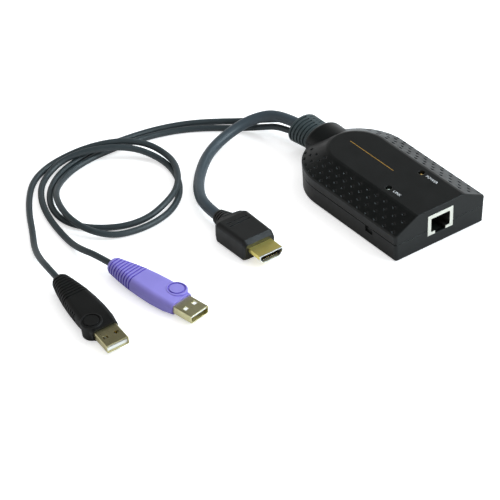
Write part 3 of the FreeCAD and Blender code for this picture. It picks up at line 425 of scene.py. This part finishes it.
def cords():
    """The three cords, each with its plug."""
    cord("hdmi_cord", HDMI_ROUTE, tail(HDMI_ROOT, HDMI_TURN, 0.0, HDMI_GRIP),
         HDMI_CORD, jacket("hdmi_cord_pvc"))
    pvc = jacket("usb_cord_pvc")
    for colour, root, turn, route, length in (
            ("purple", PURPLE_ROOT, PURPLE_TURN, PURPLE_ROUTE, 0.459),
            ("black", BLACK_ROOT, BLACK_TURN, BLACK_ROUTE, 0.479)):
        name = colour + "_usb_"
        cord(name + "cord", route, tail(root, turn, USB_LIFT, USB_GRIP),
             USB_CORD, pvc)


# ---------------------------------------------------------------- printed marks

INK_THICKNESS = 0.00003
WHITE_INK = (0.62, 0.63, 0.64)
AMBER_INK = (0.40, 0.215, 0.026)
LINE_BACK_X, LINE_FRONT_X, LINE_Y = -0.0244, 0.0098, 0.0008
LINE_WIDTH = 0.00034
WORD_SIZE = 0.0023
WORD_AHEAD = 0.0037          # from the middle of a LED to its word


def stripe(name, top, material):
    """The thin printed line on the top plate."""
    half = LINE_WIDTH / 2
    corners = [(LINE_BACK_X, LINE_Y - half), (LINE_FRONT_X, LINE_Y - half),
               (LINE_FRONT_X, LINE_Y + half), (LINE_BACK_X, LINE_Y + half)]
    below = [(*corner, top) for corner in corners]
    above = [(*corner, top + INK_THICKNESS) for corner in corners]
    faces = [(3, 2, 1, 0), (4, 5, 6, 7), (0, 1, 5, 4), (1, 2, 6, 5), (2, 3, 7, 6), (3, 0, 4, 7)]
    mesh = bpy.data.meshes.new(name)
    mesh.from_pydata(below + above, [], faces)
    mesh.materials.append(material)
    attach(add(name, mesh), "root")


def label(name, words, x, y, top, material):
    """A short word on the top plate, read from the cord end to the socket end."""
    text = bpy.data.curves.new(name, "FONT")
    text.body = words
    text.size = WORD_SIZE
    text.extrude = INK_THICKNESS / 2
    text.offset = 0.00002
    text.space_character = 1.1
    text.align_y = "CENTER"
    text.resolution_u = 3
    text.materials.append(material)
    obj = add(name, text)
    obj.location = (x, y, top + INK_THICKNESS / 2)
    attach(obj, "root")


def prints():
    """The amber line, and a word beside each LED."""
    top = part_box("upper_cover")[1].z
    white = ink("white_ink", WHITE_INK)
    stripe("amber_line", top, ink("amber_ink", AMBER_INK))
    for name, words, led in (("power_label", "POWER", "led_power"),
                             ("link_label", "LINK", "led_link")):
        low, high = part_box(led)
        middle = (low + high) / 2
        label(name, words, middle.x + WORD_AHEAD, middle.y, top, white)


# ---------------------------------------------------------------- table and light

TABLE_HALF = 4.0
TABLE_GAP = 0.00005          # below the lowest solid
TABLE_COLOUR = (0.84, 0.84, 0.84)
TABLE_GLOW = 0.55            # lifts the table to white for the camera alone
DOME_LOW, DOME_HIGH = (1, 1, 1), (0.13, 0.13, 0.13)
DOME_START, DOME_END = 0.1, 0.62     # heights on the dome between which it dims
LAMP_TARGET = (-0.02, -0.07, 0.0)
WHITE, BLUE, PALE_BLUE = (1, 1, 1), (0.75, 0.90, 1.0), (0.82, 0.95, 1.0)
# Name, place, size, watts, whether glossy surfaces mirror it, and colour.
LAMPS = (
    ("overhead_softbox", (-0.1, 0.1, 1.5), (2.0, 2.0), 16.0, False, WHITE),
    ("rear_lamp", (-0.16, 0.90, 1.06), (0.3, 0.3), 3.0, True, BLUE),
    ("edge_lamp", (0.70, 0.69, 1.0), (0.5, 0.4), 7.0, True, BLUE),
    ("right_card", (0.95, 0.75, 0.60), (0.8, 1.0), 11.0, True, PALE_BLUE),
)


def floor():
    """A white table top that keeps the shadows and looks white to the camera."""
    mesh = bpy.data.meshes.new("table")
    mesh.from_pydata([(-TABLE_HALF, -TABLE_HALF, 0), (TABLE_HALF, -TABLE_HALF, 0),
                      (TABLE_HALF, TABLE_HALF, 0), (-TABLE_HALF, TABLE_HALF, 0)],
                     [], [(0, 1, 2, 3)])
    obj = add("table", mesh)
    obj.location.z = cad_box[0].z - TABLE_GAP
    material = bpy.data.materials.new("table_white")
    material.use_nodes = True
    tree = material.node_tree
    principled = tree.nodes["Principled BSDF"]
    principled.inputs["Base Color"].default_value = (*TABLE_COLOUR, 1)
    principled.inputs["Roughness"].default_value = 0.9
    principled.inputs["Specular IOR Level"].default_value = 0.0
    principled.inputs["Emission Color"].default_value = (1, 1, 1, 1)
    path = tree.nodes.new("ShaderNodeLightPath")
    seen = tree.nodes.new("ShaderNodeMath")
    seen.operation = "MAXIMUM"
    tree.links.new(path.outputs["Is Camera Ray"], seen.inputs[0])
    tree.links.new(path.outputs["Is Transmission Ray"], seen.inputs[1])
    level = tree.nodes.new("ShaderNodeMath")
    level.operation = "MULTIPLY"
    level.inputs[1].default_value = TABLE_GLOW
    tree.links.new(seen.outputs[0], level.inputs[0])
    tree.links.new(level.outputs[0], principled.inputs["Emission Strength"])
    mesh.materials.append(material)


def world():
    """Studio dome: bright low down, dim overhead."""
    scene_world = bpy.data.worlds.new("studio")
    scene_world.use_nodes = True
    tree = scene_world.node_tree
    background = tree.nodes["Background"]
    coords = tree.nodes.new("ShaderNodeTexCoord")
    parts = tree.nodes.new("ShaderNodeSeparateXYZ")
    tree.links.new(coords.outputs["Generated"], parts.inputs["Vector"])
    dome = ramp(tree, parts.outputs["Z"], DOME_START, DOME_END, DOME_LOW, DOME_HIGH)
    tree.links.new(dome, background.inputs["Color"])
    background.inputs["Strength"].default_value = 1.0
    bpy.context.scene.world = scene_world


def lamp(name, place, size, power, glossy, colour):
    """A rectangular lamp that faces the object."""
    data = bpy.data.lights.new(name, "AREA")
    data.shape = "RECTANGLE"
    data.size, data.size_y = size
    data.energy = power
    data.color = colour
    obj = add(name, data)
    obj.location = place
    aim = Vector(LAMP_TARGET) - Vector(place)
    obj.rotation_euler = aim.to_track_quat("-Z", "Y").to_euler()
    obj.visible_glossy = glossy


camera()
dress_all()
cords()
prints()
floor()
world()
for each in LAMPS:
    lamp(*each)
